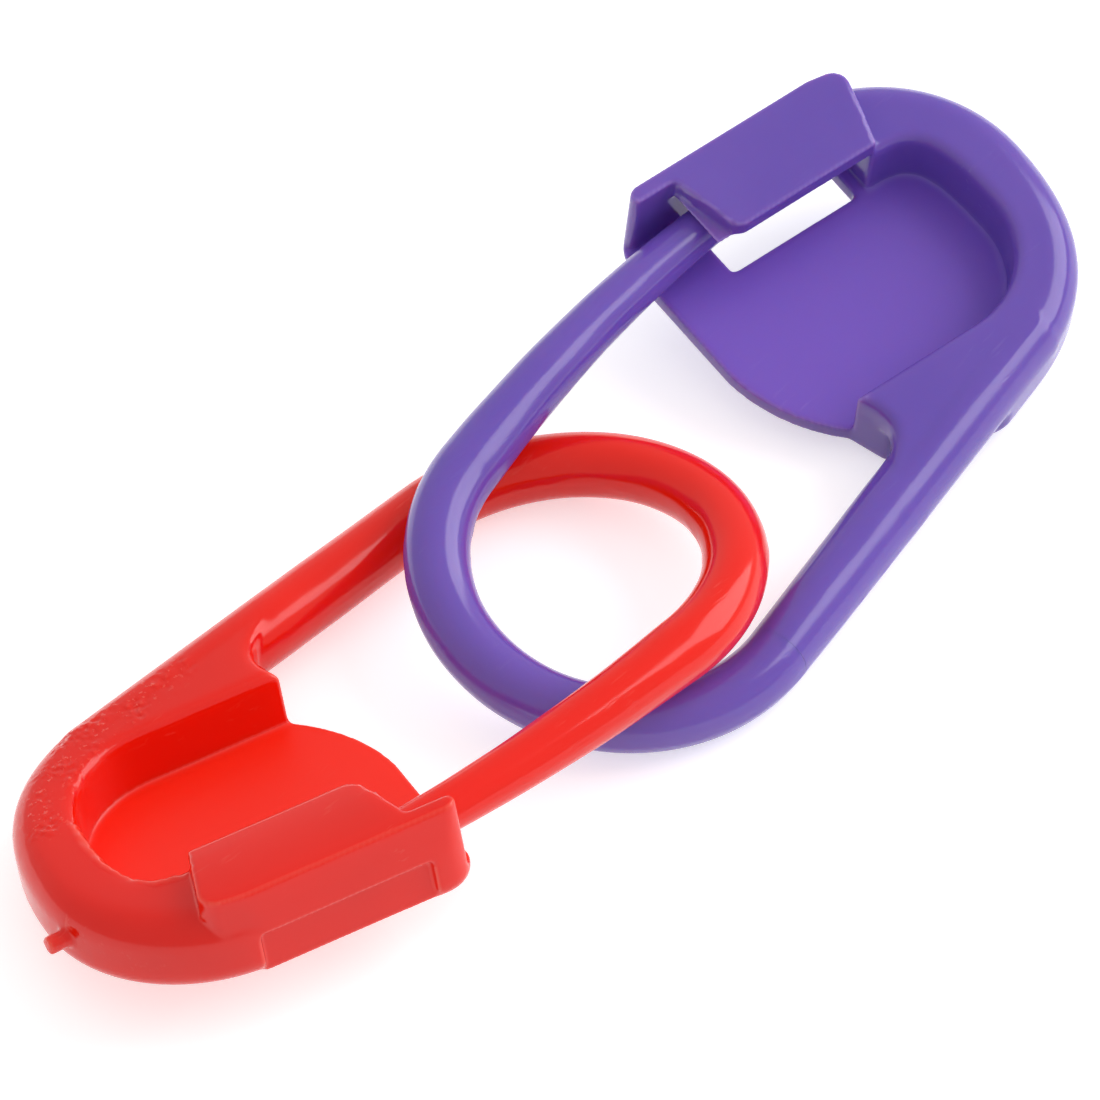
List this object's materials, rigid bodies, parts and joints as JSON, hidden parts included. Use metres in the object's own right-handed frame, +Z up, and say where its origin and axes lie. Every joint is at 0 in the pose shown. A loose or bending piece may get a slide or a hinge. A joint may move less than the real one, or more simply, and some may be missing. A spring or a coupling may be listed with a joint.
{
  "type": "stitch marker",
  "caption": "Linked pair of locking stitch markers: each a small plastic safety pin with a flat clasp head, a round bend and a sprung arm that tucks under the clasp's cover.",
  "frame": {"origin": "on the table, at the middle of the linked pair's footprint", "axes": "+X from the red marker's head to the purple one's, the longest way; +Z up from the table, towards the open side of the heads"},
  "size_m": [0.035, 0.0124, 0.0048],
  "materials": {
    "red_plastic": "glossy, slightly translucent",
    "purple_plastic": "glossy, slightly translucent"
  },
  "bodies": {
    "red_marker": {"red_clasp_head": "red_plastic", "red_fixed_leg": "red_plastic", "red_spring_loop": "red_plastic"},
    "red_free_arm": {"red_arm": "red_plastic"},
    "purple_marker": {"purple_clasp_head": "purple_plastic", "purple_fixed_leg": "purple_plastic", "purple_spring_loop": "purple_plastic"},
    "purple_free_arm": {"purple_arm": "purple_plastic"}
  },
  "joints": [
    {"name": "link", "type": "hinge", "parent": "red_marker", "child": "purple_marker", "pos_m": [-0.00027, -0.00019, 0.00182], "axis": [0, 0, 1], "range_deg": [-15, 20]},
    {"name": "red_arm_press", "type": "hinge", "parent": "red_marker", "child": "red_free_arm", "pos_m": [0.00219, -0.00007, 0.00163], "axis": [-0.0748, -0.2008, -0.9768], "range_deg": [0, 10], "stiffness_Nm_per_rad": 0.1, "springref_deg": -4.01, "deforming": ["red_spring_loop"]},
    {"name": "purple_arm_press", "type": "hinge", "parent": "purple_marker", "child": "purple_free_arm", "pos_m": [-0.00208, -0.00118, 0.00154], "axis": [0.0352, 0.1901, -0.9811], "range_deg": [0, 10], "stiffness_Nm_per_rad": 0.1, "springref_deg": -4.01, "deforming": ["purple_spring_loop"]}
  ]
}
